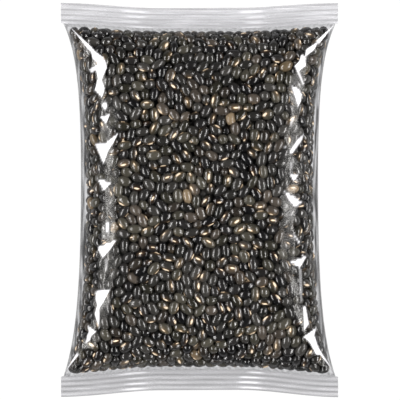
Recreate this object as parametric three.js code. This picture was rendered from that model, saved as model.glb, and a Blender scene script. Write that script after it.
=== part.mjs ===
// A clear pillow bag of dried black gram beans, lying on its back. Millimetres.
//
// The bag is one piece: a tube of clear film, laid flat and closed at each end by a ribbed heat
// seal, and filled with small oval beans. The beans show through the film as bean-sized bumps
// all over the filled body, apart from the patch that the bag lies on, which is flat at z = 0.
// Near each end the body slopes down to the seal and to the sides, and the two slopes meet in a
// ridge that runs to each corner.
//
// +X is the bag's width, +Y points to its top end and +Z to the side that shows.
// The origin is on the floor, under the middle of the bag.

import * as THREE from "three";

// The film tube and its two end seals, seen from above.
const FLAT_WIDTH = 100; // the tube laid flat, as it lies in the seals
const CORNER_LENGTH = 142.2; // from end to end at the corners
const SEAL_BAND = 7.5; // from a seal's outer edge to the filled body
const UNPULLED_HALF = 50; // where the pull of the filling ends, from the middle
const PULLED_HALF = 14; // the middle stretch that the filling pulls in evenly
const ENDS = {
  top: { side: 1, pull: 1.8, flare: 14, wave: 0.5 },
  bottom: { side: -1, pull: 2.5, flare: 19, wave: -0.7 },
};

// The filled body.
const WAIST_WIDTH = 84.8; // at mid-length, where filling has drawn the sides in
const SEAL_HEIGHT = 13; // the seals' middle plane above the floor
const THICKNESS = 33; // from the floor to the top of the bag
const UNDERSIDE_DEPTH = 16.3; // of the body's underside below the seals, before the floor flattens it
const END_CURVE = { run: 2.6, rise: 2.3 }; // exponents of the slope down to a seal
const SIDE_CURVE = { run: 2.5, rise: 2.5 }; // exponents of the slope down to a side
const RIDGE_SHARPNESS = 8; // how crisply an end's slope meets a side's

// The seals: two layers of film pressed into ribs that run across the bag.
const SEAL_THICKNESS = 0.7;
const RIBS = 4;
const RIB_HEIGHT = 0.8; // from a groove to the next crest
const WAVE_TURNS = 1.3; // bends of a seal from one corner to the other

// The beans, as bumps on a staggered lattice of cells, one bean in each.
const BEANS_ROUND = 42; // cells round the bag
const BEAN_ROWS = 31; // rows of cells from seal to seal
const BEAN_LENGTH = 5.2;
const BEAN_WIDTH = 3.75;
const GAP_DEPTH = 1.3; // from the film to the low points between beans
const LOWEST_BEAN = 0.3; // the furthest that a bean's back lies below the film
const CELL_SHIFT = 0.16; // the furthest that a bean lies from its cell's middle, in cells
const FULL_RELIEF_THICKNESS = 8; // where the bag is thinner than this the bumps fade

// How finely the skin is measured, round the bag and along it, and the step for its tangents.
const SECTION_STEPS = 120;
const PATH_STEPS = 400;
const TANGENT_STEP = 0.002;

const HALF_WIDTH = FLAT_WIDTH / 2;
const HALF_LENGTH = CORNER_LENGTH / 2;
const HALF_SEAL = SEAL_THICKNESS / 2;
const TOP_RISE = THICKNESS - SEAL_HEIGHT - HALF_SEAL;
const RIDGE_HALF = (BEAN_LENGTH - BEAN_WIDTH) / 2 + BEAN_WIDTH / 8; // of a bean's flat back

const clamp = (t) => Math.min(1, Math.max(0, t));
const smooth = (t) => clamp(t) ** 2 * (3 - 2 * clamp(t));

// A repeatable draw of numbers from 0 to 1.
function seededDraw(seed) {
  let state = seed;
  return () => {
    state = (state + 0x6d2b79f5) | 0;
    let mixed = Math.imul(state ^ (state >>> 15), 1 | state);
    mixed = (mixed + Math.imul(mixed ^ (mixed >>> 7), 61 | mixed)) ^ mixed;
    return ((mixed ^ (mixed >>> 14)) >>> 0) / 2 ** 32;
  };
}

// How far the filling pulls an end in at x, as a share of its pull in the middle.
function pulledShare(x) {
  return 1 - smooth((Math.abs(x) - PULLED_HALF) / (UNPULLED_HALF - PULLED_HALF));
}

// The y of an end seal's outer edge at x.
function outerEdge(end, x) {
  return end.side * (HALF_LENGTH - end.pull * pulledShare(x));
}

// The y of an end seal's inner edge at x, where the filled body starts.
function innerEdge(end, x) {
  return outerEdge(end, x) - end.side * SEAL_BAND;
}

// Half the body's width at y: the waist, flaring out to the flat tube at each seal.
function halfWidthAt(y) {
  const flare = HALF_WIDTH - WAIST_WIDTH / 2;
  const toTop = HALF_LENGTH - SEAL_BAND - y;
  const toBottom = HALF_LENGTH - SEAL_BAND + y;
  const width =
    WAIST_WIDTH / 2 +
    flare * Math.exp(-toTop / ENDS.top.flare) +
    flare * Math.exp(-toBottom / ENDS.bottom.flare);
  return Math.min(HALF_WIDTH, width);
}

// A slope that climbs steeply from 0 at the rim to 1 in the middle.
function slope(share, curve) {
  return (1 - (1 - clamp(share)) ** curve.run) ** (1 / curve.rise);
}

// How full the body is at a place, from 0 at its rim to 1 in its middle. along runs from 0 at
// the bottom seal to 1 at the top seal, and across from -1 to 1 between the sides.
function fullness(across, along) {
  const toEnd = slope(1 - Math.abs(2 * along - 1), END_CURVE);
  const toSide = slope(1 - Math.abs(across), SIDE_CURVE);
  const smaller = Math.min(toEnd, toSide);
  if (smaller <= 0) return 0;
  const larger = Math.max(toEnd, toSide);
  const lean = 1 + (smaller / larger) ** RIDGE_SHARPNESS;
  return smaller * (2 / lean) ** (1 / RIDGE_SHARPNESS);
}

// A point of the body's skin, on its upper face (face 1) or its underside (face -1).
function skinPoint(across, along, face) {
  const level = innerEdge(ENDS.bottom, 0) * (1 - along) + innerEdge(ENDS.top, 0) * along;
  const x = across * halfWidthAt(level);
  const y = innerEdge(ENDS.bottom, x) * (1 - along) + innerEdge(ENDS.top, x) * along;
  const full = fullness(across, along);
  const z =
    face > 0
      ? SEAL_HEIGHT + HALF_SEAL + TOP_RISE * full
      : Math.max(0, SEAL_HEIGHT - HALF_SEAL - UNDERSIDE_DEPTH * full);
  return new THREE.Vector3(x, y, z);
}

// The bag's closed cross-section at a place along it: from the left side over the upper face
// to the right side, and back along the underside.
function section(along) {
  const points = [];
  for (const face of [1, -1]) {
    for (let step = 0; step <= SECTION_STEPS; step += 1) {
      const across = -face * Math.cos((Math.PI * step) / SECTION_STEPS);
      points.push(skinPoint(across, along, face));
    }
  }
  points.push(points[0]);
  return points;
}

// The point that lies a share, from 0 to 1, of the way round the bag.
function roundPoint(round, along) {
  const points = section(clamp(along));
  const reach = [0];
  for (let i = 1; i < points.length; i += 1) {
    reach.push(reach[i - 1] + points[i].distanceTo(points[i - 1]));
  }
  const girth = reach[reach.length - 1];
  const target = (round - Math.floor(round)) * girth;
  const next = Math.max(1, reach.findIndex((length) => length >= target));
  const span = reach[next] - reach[next - 1] || 1;
  const point = points[next - 1].clone();
  return { point: point.lerp(points[next], (target - reach[next - 1]) / span), girth };
}

// The skin's outward direction there.
function outward(round, along) {
  const low = Math.max(0, along - TANGENT_STEP);
  const high = Math.min(1, along + TANGENT_STEP);
  const lengthwise = roundPoint(round, high).point.sub(roundPoint(round, low).point);
  const ahead = roundPoint(round + TANGENT_STEP, along).point;
  const crosswise = ahead.sub(roundPoint(round - TANGENT_STEP, along).point);
  return crosswise.cross(lengthwise).normalize();
}

// How thick the bag is at a point's own x and place along.
function thicknessAt(point, along) {
  const across = clamp(Math.abs(point.x) / halfWidthAt(point.y));
  return skinPoint(across, along, 1).z - skinPoint(across, along, -1).z;
}

// A point sunk below the skin, by less where the bag is thin and not at all on the floor.
function sunkPoint(round, along, depth) {
  const { point } = roundPoint(round, along);
  if (point.z === 0) return point;
  const relief = clamp(thicknessAt(point, along) / FULL_RELIEF_THICKNESS);
  point.addScaledVector(outward(round, along), -depth * relief);
  point.z = Math.max(0, point.z);
  return point;
}

// The places along the bag that lie at even steps over the middle of its upper face.
function evenPlaces() {
  const reach = [0];
  let last = skinPoint(0, 0, 1);
  for (let i = 1; i <= PATH_STEPS; i += 1) {
    const next = skinPoint(0, i / PATH_STEPS, 1);
    reach.push(reach[i - 1] + next.distanceTo(last));
    last = next;
  }
  const path = reach[PATH_STEPS];
  const placeAt = (share) => {
    const target = clamp(share) * path;
    const next = Math.max(1, reach.findIndex((length) => length >= target));
    const span = reach[next] - reach[next - 1];
    return (next - 1 + (target - reach[next - 1]) / span) / PATH_STEPS;
  };
  return { path, placeAt };
}

// A growing list of corners and triangles.
class Skin {
  corners = [];
  triangles = [];

  add(point) {
    this.corners.push(point.x, point.y, point.z);
    return this.corners.length / 3 - 1;
  }

  face(...loop) {
    for (let i = 2; i < loop.length; i += 1) this.triangles.push(loop[0], loop[i - 1], loop[i]);
  }

  // A band of faces between two closed rings of equally many corners.
  band(lower, upper) {
    lower.forEach((corner, i) => {
      const next = (i + 1) % lower.length;
      this.face(corner, lower[next], upper[next]);
      this.face(corner, upper[next], upper[i]);
    });
  }

  geometry() {
    const made = new THREE.BufferGeometry();
    made.setAttribute("position", new THREE.Float32BufferAttribute(this.corners, 3));
    made.setIndex(this.triangles);
    made.computeVertexNormals();
    return made;
  }
}

// The lattice of bean bumps between the two seals. Each bean is a hipped ridge of two corners
// inside a hexagon of six low corners, which it shares with its neighbours.
function beanLattice(skin, draw) {
  const { path, placeAt } = evenPlaces();
  const rowShare = 1 / (BEAN_ROWS + 1 / 3);
  const alongOf = (row) => placeAt((row + 2 / 3) * rowShare);
  const stagger = (row) => (row % 2 === 0 ? 0.5 : 0);
  const beans = [];
  for (let row = 0; row < BEAN_ROWS; row += 1) {
    beans.push(
      Array.from({ length: BEANS_ROUND }, (_, i) => ({
        place: i + stagger(row) + (2 * draw() - 1) * CELL_SHIFT,
        row: row + (2 * draw() - 1) * CELL_SHIFT,
        angle: Math.PI * draw(),
        depth: LOWEST_BEAN * draw(),
      })),
    );
  }

  const wrap = (i) => (i + BEANS_ROUND) % BEANS_ROUND;
  // The low corner between three beans, or on the rim beyond the first and last rows.
  const lowCorner = (place, row) =>
    skin.add(sunkPoint(place / BEANS_ROUND, alongOf(row), GAP_DEPTH));
  // Corners straight above each bean of a row (way 1) or straight below it (way -1), and those
  // between one bean and the next, nearer to the row.
  const facing = (row, way) =>
    beans[row].map((bean) => lowCorner(bean.place, row + (way * 2) / 3));
  const between = (row, way) =>
    beans[row].map((bean, i) => {
      const next = beans[row][wrap(i + 1)];
      const nextPlace = next.place + (i + 1 === BEANS_ROUND ? BEANS_ROUND : 0);
      return lowCorner((bean.place + nextPlace) / 2, row + way / 3);
    });

  const rims = [];
  for (let row = 0; row < BEAN_ROWS; row += 1) {
    const rim = { aboveNear: between(row, 1), aboveFar: facing(row, 1) };
    if (row === 0) {
      rim.belowFar = facing(0, -1);
      rim.belowNear = between(0, -1);
    } else {
      // The corners above the row before serve this row: far becomes near and near far, and the
      // stagger turns them by one cell on every other row.
      const before = rims[row - 1];
      const turn = stagger(row) === 0 ? -1 : 0;
      rim.belowFar = beans[row].map((_, i) => before.aboveNear[wrap(i + turn)]);
      rim.belowNear = beans[row].map((_, i) => before.aboveFar[wrap(i + turn + 1)]);
    }
    rims.push(rim);
  }

  beans.forEach((row, j) =>
    row.forEach((bean, i) => {
      const rim = rims[j];
      const left = wrap(i - 1);
      const loop = [
        rim.belowFar[i],
        rim.belowNear[i],
        rim.aboveNear[i],
        rim.aboveFar[i],
        rim.aboveNear[left],
        rim.belowNear[left],
      ];
      const onFloor = loop.every((corner) => skin.corners[3 * corner + 2] === 0);
      if (onFloor) {
        skin.face(...loop);
        return;
      }
      const along = alongOf(bean.row);
      const { girth } = roundPoint(bean.place / BEANS_ROUND, along);
      const ends = [-1, 1].map((way) => {
        const place = bean.place / BEANS_ROUND + (way * RIDGE_HALF * Math.cos(bean.angle)) / girth;
        const shift = (way * RIDGE_HALF * Math.sin(bean.angle)) / path / rowShare;
        return skin.add(sunkPoint(place, alongOf(bean.row + shift), bean.depth));
      });
      hippedRidge(skin, loop, ends);
    }),
  );
  return { first: rims[0], last: rims[BEAN_ROWS - 1] };
}

// Joins a loop of low corners to a ridge of two corners: each side of the loop goes to the
// ridge's nearer end, and where the nearer end changes, a face spans the ridge.
function hippedRidge(skin, loop, ends) {
  const at = (corner) => new THREE.Vector3().fromArray(skin.corners, 3 * corner);
  const [first, second] = ends.map(at);
  const axis = second.clone().sub(first);
  const middle = first.clone().add(second).multiplyScalar(0.5);
  const nearer = loop.map((corner, i) => {
    const next = at(loop[(i + 1) % loop.length]);
    const halfway = at(corner).add(next).multiplyScalar(0.5);
    return halfway.sub(middle).dot(axis) < 0 ? ends[0] : ends[1];
  });
  loop.forEach((corner, i) => {
    const before = nearer[(i + loop.length - 1) % loop.length];
    skin.face(corner, loop[(i + 1) % loop.length], nearer[i]);
    if (before !== nearer[i]) skin.face(corner, nearer[i], before);
  });
}

// A ring of corners round a seal, a share of the way out from its inner edge.
function sealRing(skin, end, share) {
  const half = BEANS_ROUND / 2;
  const crest = Math.cos(2 * Math.PI * RIBS * share) < 0 ? 1 : 0;
  return Array.from({ length: BEANS_ROUND }, (_, i) => {
    const upper = i < half;
    const step = (upper ? i : BEANS_ROUND - 1 - i) / (half - 1);
    const x = FLAT_WIDTH * (step - 0.5);
    const y = innerEdge(end, x) + end.side * SEAL_BAND * share;
    const bend = end.wave * share * Math.sin(Math.PI * WAVE_TURNS * (2 * step - 1));
    const lift = share > 0 ? RIB_HEIGHT * (crest - 0.5) : 0;
    const z = SEAL_HEIGHT + bend + lift + (upper ? HALF_SEAL : -HALF_SEAL);
    return skin.add(new THREE.Vector3(x, y, z));
  });
}

// One end seal, from the body's rim to its cut outer edge.
function endSeal(skin, end, far, near) {
  const outwards = end.side > 0;
  const join = (inner, outer) => (outwards ? skin.band(inner, outer) : skin.band(outer, inner));
  const rings = Array.from({ length: 2 * RIBS + 1 }, (_, i) =>
    sealRing(skin, end, i / (2 * RIBS)),
  );
  // The rim's notches, between the far corners, are filled first.
  far.forEach((corner, i) => {
    const next = far[(i + 1) % far.length];
    if (outwards) skin.face(near[i], next, corner);
    else skin.face(near[i], corner, next);
  });
  join(far, rings[0]);
  for (let i = 1; i < rings.length; i += 1) join(rings[i - 1], rings[i]);
  const last = rings[rings.length - 1];
  for (let i = 0; i + 1 < BEANS_ROUND / 2; i += 1) {
    const below = BEANS_ROUND - 1 - i;
    if (outwards) skin.face(last[i], last[i + 1], last[below - 1], last[below]);
    else skin.face(last[i], last[below], last[below - 1], last[i + 1]);
  }
}

function beanBag() {
  const skin = new Skin();
  const { first, last } = beanLattice(skin, seededDraw(41));
  endSeal(skin, ENDS.bottom, first.belowFar, first.belowNear);
  endSeal(skin, ENDS.top, last.aboveFar, last.aboveNear);
  const film = new THREE.MeshStandardMaterial({
    name: "black_beans_in_clear_film",
    color: new THREE.Color(0.1, 0.095, 0.09),
    roughness: 0.35,
    metalness: 0,
  });
  const bag = new THREE.Mesh(skin.geometry(), film);
  bag.name = "bean_bag";
  return bag;
}

const model = new THREE.Group();
model.add(beanBag());

export default model;
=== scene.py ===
"""Looks of a clear pillow bag of dried black gram beans, lying on its back, in metres.

The bag is a tube of clear film, laid flat and closed at each end by a ribbed heat seal, with
small oval beans packed against it. +X is the bag's width, +Y points to its top end and +Z to
the side that shows. The origin is on the floor, under the middle of the bag.
"""

import logging
import math
from collections.abc import Sequence
from dataclasses import dataclass, field, replace
from enum import Enum

import bpy
import numpy as np
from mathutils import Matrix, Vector
from mathutils.bvhtree import BVHTree
from mathutils.geometry import delaunay_2d_cdt
from mathutils.kdtree import KDTree
from numpy.typing import NDArray


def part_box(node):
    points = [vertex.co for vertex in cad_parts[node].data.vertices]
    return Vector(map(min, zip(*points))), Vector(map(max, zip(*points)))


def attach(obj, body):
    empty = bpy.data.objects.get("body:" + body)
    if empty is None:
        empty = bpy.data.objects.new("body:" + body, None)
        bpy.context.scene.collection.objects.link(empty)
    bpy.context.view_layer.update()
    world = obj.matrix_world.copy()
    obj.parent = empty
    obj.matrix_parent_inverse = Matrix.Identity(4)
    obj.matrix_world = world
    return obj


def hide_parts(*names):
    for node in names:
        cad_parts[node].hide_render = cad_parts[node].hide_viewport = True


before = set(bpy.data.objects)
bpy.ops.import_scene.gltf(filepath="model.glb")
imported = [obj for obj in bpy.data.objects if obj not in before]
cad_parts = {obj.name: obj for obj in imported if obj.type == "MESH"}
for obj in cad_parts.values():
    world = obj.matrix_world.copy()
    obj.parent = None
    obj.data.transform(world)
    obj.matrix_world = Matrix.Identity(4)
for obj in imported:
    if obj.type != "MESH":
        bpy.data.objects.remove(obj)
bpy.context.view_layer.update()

LOG = logging.getLogger("bean_bag")
NODE = "bean_bag"
BODY = "root"
MM = 0.001
TINY = 1e-12

Floats = NDArray[np.float64]
Ints = NDArray[np.int64]
Flags = NDArray[np.bool_]
Colour = tuple[float, float, float]


def smooth_step(share: Floats) -> Floats:
    """An even rise from 0 to 1 as share goes from 0 to 1, level at both ends."""
    held = np.clip(share, 0.0, 1.0)
    return held * held * (3.0 - 2.0 * held)


def eased(count: int, ease: float) -> Floats:
    """Places from -1 to 1 that lie closer together towards both ends.

    Args:
        count: How many steps to take.
        ease: 0 for even steps, up to 1 for the closest ends.

    Returns:
        The count + 1 places.
    """
    even = np.linspace(-1.0, 1.0, count + 1)
    return (1.0 - ease) * even + ease * np.sin(0.5 * math.pi * even)


def unit(vectors: Floats) -> Floats:
    """The vectors at length 1, along their last axis."""
    return vectors / np.maximum(np.linalg.norm(vectors, axis=-1, keepdims=True), TINY)


# The form of the bag


@dataclass(frozen=True)
class Slope:
    """A slope that climbs from a rim to the middle.

    Attributes:
        run: How fast it climbs from the rim, as an exponent.
        rise: How full it is at the rim, as an exponent.
    """

    run: float
    rise: float

    def height(self, share: Floats) -> Floats:
        """Height from 0 at the rim to 1 in the middle, at a share of the way in."""
        return (1.0 - (1.0 - np.clip(share, 0.0, 1.0)) ** self.run) ** (1.0 / self.rise)


@dataclass(frozen=True)
class End:
    """One end of the bag.

    Attributes:
        side: Which way it lies along Y, 1 for the top and -1 for the bottom.
        pull: How far the filling pulls the middle of its seal in.
        flare: The length over which the body flares out to its seal.
        wave: How far the cut edge of its seal bends up and down.
        glow: How light its seal is, painted light: the top seal is lighter than the bottom one as the
            light falls.
        lines: Where its dark lines run, as a share of a rib from the seal's inner edge.
    """

    side: float
    pull: float
    flare: float
    wave: float
    glow: float
    lines: float


class Face(Enum):
    """The two faces of the bag."""

    UPPER = 1
    LOWER = -1


@dataclass(frozen=True)
class BagForm:
    """The bag's outer form, taut between its seals, as the CAD solid has it.

    Attributes:
        width: The width of the CAD solid's box, across the seals.
        length: The length of its box, between the cut edges.
        thickness: The height of its box.
        seal_band: The width of each seal.
        unpulled_half: How far out a seal's edge runs straight again.
        pulled_half: Half the stretch of a seal that the filling pulls in whole.
        waist: The width of the filled body at its narrowest.
        seal_height: How high the seals and the sides lie over the floor.
        underside_depth: How far the underside would hang below the seals, were there no floor.
        top: The top end.
        bottom: The bottom end.
        end_curve: The slope of the faces from a seal.
        side_curve: The slope of the faces from a side.
        ridge_sharpness: How sharp the ridge is where both slopes meet.
        ribs: How many ribs each seal has.
        rib_height: How high a rib is.
        rib_sharpness: How much sharper its crests are than its hollows, from 0 to 1.
        wave_turns: Half waves of a seal's bend from the middle to a side.
        film_gap: The gap between the two faces of a seal.
        lip_width: How wide the flat empty lip at each side is.
    """

    width: float
    length: float
    thickness: float
    seal_band: float = 7.5 * MM
    unpulled_half: float = 50.0 * MM
    pulled_half: float = 14.0 * MM
    waist: float = 84.8 * MM
    seal_height: float = 13.0 * MM
    underside_depth: float = 16.3 * MM
    # Painted light: the top seal's glow is lighter than the bottom seal's.
    top: End = End(side=1.0, pull=1.8 * MM, flare=14.0 * MM, wave=0.5 * MM, glow=0.57, lines=0.68)
    bottom: End = End(side=-1.0, pull=2.5 * MM, flare=19.0 * MM, wave=-0.7 * MM, glow=0.36, lines=0.0)
    end_curve: Slope = Slope(run=2.6, rise=2.3)
    side_curve: Slope = Slope(run=2.5, rise=2.5)
    ridge_sharpness: float = 8.0
    ribs: int = 4
    rib_height: float = 0.55 * MM
    rib_sharpness: float = 0.2
    wave_turns: float = 1.3
    film_gap: float = 0.3 * MM
    lip_width: float = 0.0

    @classmethod
    def from_frame(cls) -> "BagForm":
        """The form that fills the CAD solid's box.

        Returns:
            The bag's form.
        """
        low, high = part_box(NODE)
        size = high - low
        return cls(width=size.x, length=size.y, thickness=size.z)

    def outer_edge(self, end: End, x: Floats) -> Floats:
        """The y of an end seal's cut edge.

        Args:
            end: The end that is sealed.
            x: Places across the bag.

        Returns:
            The y at each place.
        """
        span = self.unpulled_half - self.pulled_half
        pulled = 1.0 - smooth_step((np.abs(x) - self.pulled_half) / span)
        return end.side * (0.5 * self.length - end.pull * pulled)

    def inner_edge(self, end: End, x: Floats) -> Floats:
        """The y of an end seal's inner edge at x, where the filled body starts."""
        return self.outer_edge(end, x) - end.side * self.seal_band

    def half_width(self, y: Floats) -> Floats:
        """Half the body's width: the waist, flaring out to the flat tube at each seal.

        Args:
            y: Places along the bag.

        Returns:
            Half the width at each place.
        """
        flare = 0.5 * (self.width - self.waist)
        to_end = 0.5 * self.length - self.seal_band
        spread = np.exp(-(to_end - y) / self.top.flare) + np.exp(-(to_end + y) / self.bottom.flare)
        return np.minimum(0.5 * self.width, 0.5 * self.waist + flare * spread)

    def level(self, along: Floats) -> Floats:
        """The y at mid-width of places along the filled body.

        Args:
            along: The places, from 0 at the bottom seal to 1 at the top seal.

        Returns:
            The y of each place.
        """
        middle = np.zeros(1)
        low, high = self.inner_edge(self.bottom, middle), self.inner_edge(self.top, middle)
        return low * (1.0 - along) + high * along

    def body(self, across: Floats, along: Floats, face: Face) -> Floats:
        """Points of the film over the filled body.

        Args:
            across: Places from -1 to 1 between the sides.
            along: Places from 0 at the bottom seal to 1 at the top seal.
            face: The face that the points lie on.

        Returns:
            The points, with x, y and z along the last axis.
        """
        half = self.half_width(self.level(along))
        x = across * half
        y = self.inner_edge(self.bottom, x) * (1.0 - along) + self.inner_edge(self.top, x) * along
        inset = (1.0 - np.abs(across)) * half
        to_end = self.end_curve.height(1.0 - np.abs(2.0 * along - 1.0))
        lip = self.lip_width * to_end
        to_side = self.side_curve.height((inset - lip) / (half - lip))
        smaller, larger = np.minimum(to_end, to_side), np.maximum(to_end, to_side)
        sharp = self.ridge_sharpness
        lean = 1.0 + (smaller / np.maximum(larger, TINY)) ** sharp
        full = smaller * (2.0 / lean) ** (1.0 / sharp)
        middle = self.seal_height + face.value * 0.5 * self.film_gap
        top_rise = self.thickness - middle
        z = middle + full * (top_rise if face is Face.UPPER else -self.underside_depth)
        return np.stack([x, y, np.maximum(z, 0.0)], axis=-1)

    def seal(self, across: Floats, share: Floats, end: End, face: Face) -> Floats:
        """Points of a heat seal.

        Args:
            across: Places from -1 to 1 between the sides.
            share: Places from 0 at the seal's inner edge to 1 at its cut edge.
            end: The end that is sealed.
            face: The face that the points lie on.

        Returns:
            The points, with x, y and z along the last axis.
        """
        x = 0.5 * self.width * across
        y = self.inner_edge(end, x) + end.side * self.seal_band * share
        bend = end.wave * share * np.sin(math.pi * self.wave_turns * across)
        turn = 2.0 * math.pi * self.ribs * share
        fade = smooth_step(share * self.ribs)
        sharp = self.rib_sharpness
        profile = (1.0 - sharp) * np.cos(turn) + sharp * np.cos(2.0 * turn)
        rib = -0.5 * self.rib_height * fade * profile
        z = self.seal_height + bend + rib + face.value * 0.5 * self.film_gap
        return np.stack(np.broadcast_arrays(x, y, z), axis=-1)


@dataclass
class Ripples:
    """A smooth seeded field of ripples, mostly between -1.5 and 1.5.

    Attributes:
        rng: The draw that places the ripples.
        wavelength: Their length along X, Y and Z.
        count: How many plane waves make the field.
        spread: The shortest and the longest wave, as a share of the wavelength.
        turns: How many radians each wave turns in a metre along X, Y and Z.
        starts: Where each wave starts.
    """

    rng: np.random.Generator
    wavelength: tuple[float, float, float]
    count: int = 20
    spread: tuple[float, float] = (0.75, 1.35)
    turns: Floats = field(init=False)
    starts: Floats = field(init=False)

    def __post_init__(self) -> None:
        """Draws the waves."""
        ways = unit(self.rng.normal(size=(self.count, 3)))
        lengths = self.rng.uniform(*self.spread, size=(self.count, 1))
        self.turns = 2.0 * math.pi * ways / (lengths * np.array(self.wavelength))
        self.starts = self.rng.uniform(0.0, 2.0 * math.pi, size=self.count)

    def at(self, points: Floats) -> Floats:
        """The field at each point."""
        waves = np.sin(points @ self.turns.T + self.starts)
        return waves.sum(axis=-1) / math.sqrt(0.5 * self.count)


@dataclass(frozen=True)
class Facets:
    """Flat facets of film that is held taut between the beans that press on it most.

    Attributes:
        columns: How many such beans lie across the bag.
        rows: How many lie along it.
        scatter: How far each may lie from its place in an even grid, as a share of its spacing.
        stagger: How far every other row of the grid is moved, as a share of its spacing.
        merge: How near to each other two beans count as one, in millimetres.
        ray_start: How high the rays start that look down for the facets.
        share: How far the film follows its facets, from 0 to 1.
        seed: The seed of the beans' places.
    """

    columns: int = 22
    rows: int = 30
    scatter: float = 0.42
    stagger: float = 0.25
    merge: float = 1e-6
    ray_start: float = 1.0
    share: float = 1.0
    seed: int = 4

    def posts(self, skin: Floats) -> Floats:
        """The places at which beans hold up a skin.

        Args:
            skin: The skin as a grid of points.

        Returns:
            The places, those on the skin's rim among them.
        """
        spacing = (np.array(skin.shape[:2]) - 1) / np.array([self.rows, self.columns])
        grid = np.stack(np.mgrid[: self.rows + 1, : self.columns + 1], axis=-1).astype(float)
        inner = grid[1:-1, 1:-1]
        inner[1::2, :, 1] += self.stagger
        inner[::2, :, 1] -= self.stagger
        rng = np.random.default_rng(self.seed)
        inner += rng.uniform(-self.scatter, self.scatter, size=inner.shape)
        row, column = np.moveaxis(np.rint(grid * spacing).astype(int), -1, 0)
        return skin[row, column].reshape(-1, 3)

    def flatten(self, skin: Floats, share: Floats) -> Floats:
        """Pulls a skin flat between the beans that hold it up.

        Args:
            skin: The skin as a grid of points.
            share: How much of the facets each point may take, from 0 to 1.

        Returns:
            The skin with facets.
        """
        posts = self.posts(skin)
        flat = [Vector(post[:2]) / MM for post in posts]
        _, _, facets, origins, _, _ = delaunay_2d_cdt(flat, [], [], 0, self.merge)
        tree = BVHTree.FromPolygons([posts[origin[0]].tolist() for origin in origins], facets)
        down = Vector((0.0, 0.0, -1.0))
        points = skin.reshape(-1, 3)
        lowered = np.zeros(len(points))
        for i, (x, y, z) in enumerate(points):
            place, _, _, _ = tree.ray_cast(Vector((x, y, self.ray_start)), down)
            lowered[i] = place.z - z if place else 0.0
        lowered = lowered.reshape(skin.shape[:2]) * share * self.share
        return np.concatenate([skin[..., :2], (skin[..., 2] + lowered)[..., None]], axis=-1)


# Meshes


@dataclass
class Surface:
    """A mesh as arrays.

    Attributes:
        corners: The x, y and z of each corner.
        faces: The corners of each face, as many on every face.
        values: What the mesh's material reads at each corner, by name.
    """

    corners: Floats
    faces: Ints
    values: dict[str, Floats] = field(default_factory=dict)

    def make(self, name: str, material: bpy.types.Material) -> bpy.types.Object:
        """Makes the mesh an object of the scene.

        Args:
            name: The piece's name.
            material: The finish that it wears.

        Returns:
            The new object, smooth shaded.
        """
        mesh = bpy.data.meshes.new(name)
        sides = self.faces.shape[1]
        mesh.vertices.add(len(self.corners))
        mesh.vertices.foreach_set("co", self.corners.astype(np.float32).ravel())
        mesh.loops.add(self.faces.size)
        mesh.loops.foreach_set("vertex_index", self.faces.astype(np.int32).ravel())
        mesh.polygons.add(len(self.faces))
        starts = np.arange(0, self.faces.size, sides, dtype=np.int32)
        mesh.polygons.foreach_set("loop_start", starts)
        mesh.polygons.foreach_set("use_smooth", np.ones(len(self.faces), dtype=bool))
        for label, values in self.values.items():
            attribute = mesh.attributes.new(label, "FLOAT", "POINT")
            attribute.data.foreach_set("value", values.astype(np.float32).ravel())
        mesh.update(calc_edges=True)
        mesh.validate()
        mesh.materials.append(material)
        piece = bpy.data.objects.new(name, mesh)
        bpy.context.scene.collection.objects.link(piece)
        return piece


def joined(parts: list[Surface]) -> Surface:
    """Several surfaces as one.

    Args:
        parts: The surfaces, all with values of the same names.

    Returns:
        The one surface.
    """
    starts = np.cumsum([0] + [len(part.corners) for part in parts[:-1]])
    return Surface(
        np.concatenate([part.corners for part in parts]),
        np.concatenate([part.faces + start for part, start in zip(parts, starts)]),
        {label: np.concatenate([part.values[label] for part in parts]) for label in parts[0].values},
    )


def stand_in(piece: bpy.types.Object) -> None:
    """Makes a piece ride on the bag and stand for its CAD solid.

    Args:
        piece: The piece.
    """
    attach(piece, BODY)
    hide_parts(NODE)
    LOG.info("%s: %d faces", piece.name, len(piece.data.polygons))


# Shader maths


class Signal:
    """A shader socket that Python expressions can reckon with."""

    def __init__(self, shader: "Shader", socket: bpy.types.NodeSocket) -> None:
        """Wraps a socket of a shader's tree."""
        self.shader = shader
        self.socket = socket

    def math(self, operation: str, first: object, second: object) -> "Signal":
        """The result of a Math node on two values or signals."""
        node = self.shader.node("ShaderNodeMath", {"operation": operation}, {0: first, 1: second})
        return Signal(self.shader, node.outputs[0])

    def __add__(self, other: object) -> "Signal":
        """The sum of this signal and another value."""
        return self.math("ADD", self, other)

    def __sub__(self, other: object) -> "Signal":
        """This signal less another value."""
        return self.math("SUBTRACT", self, other)

    def __mul__(self, other: object) -> "Signal":
        """The product of this signal and another value."""
        return self.math("MULTIPLY", self, other)

    def power(self, exponent: float) -> "Signal":
        """This signal raised to a power."""
        return self.math("POWER", self, exponent)

    def capped(self, highest: float) -> "Signal":
        """This signal, but no more than the highest value."""
        return self.math("MINIMUM", self, highest)


@dataclass(frozen=True)
class Grain:
    """The fine relief of a surface.

    Attributes:
        size: The size of its features.
        depth: How deep they are.
        strength: How far they bend the light, from 0 to 1.
        detail: How many finer layers they have.
    """

    size: float
    depth: float
    strength: float
    detail: float = 2.0


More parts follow.
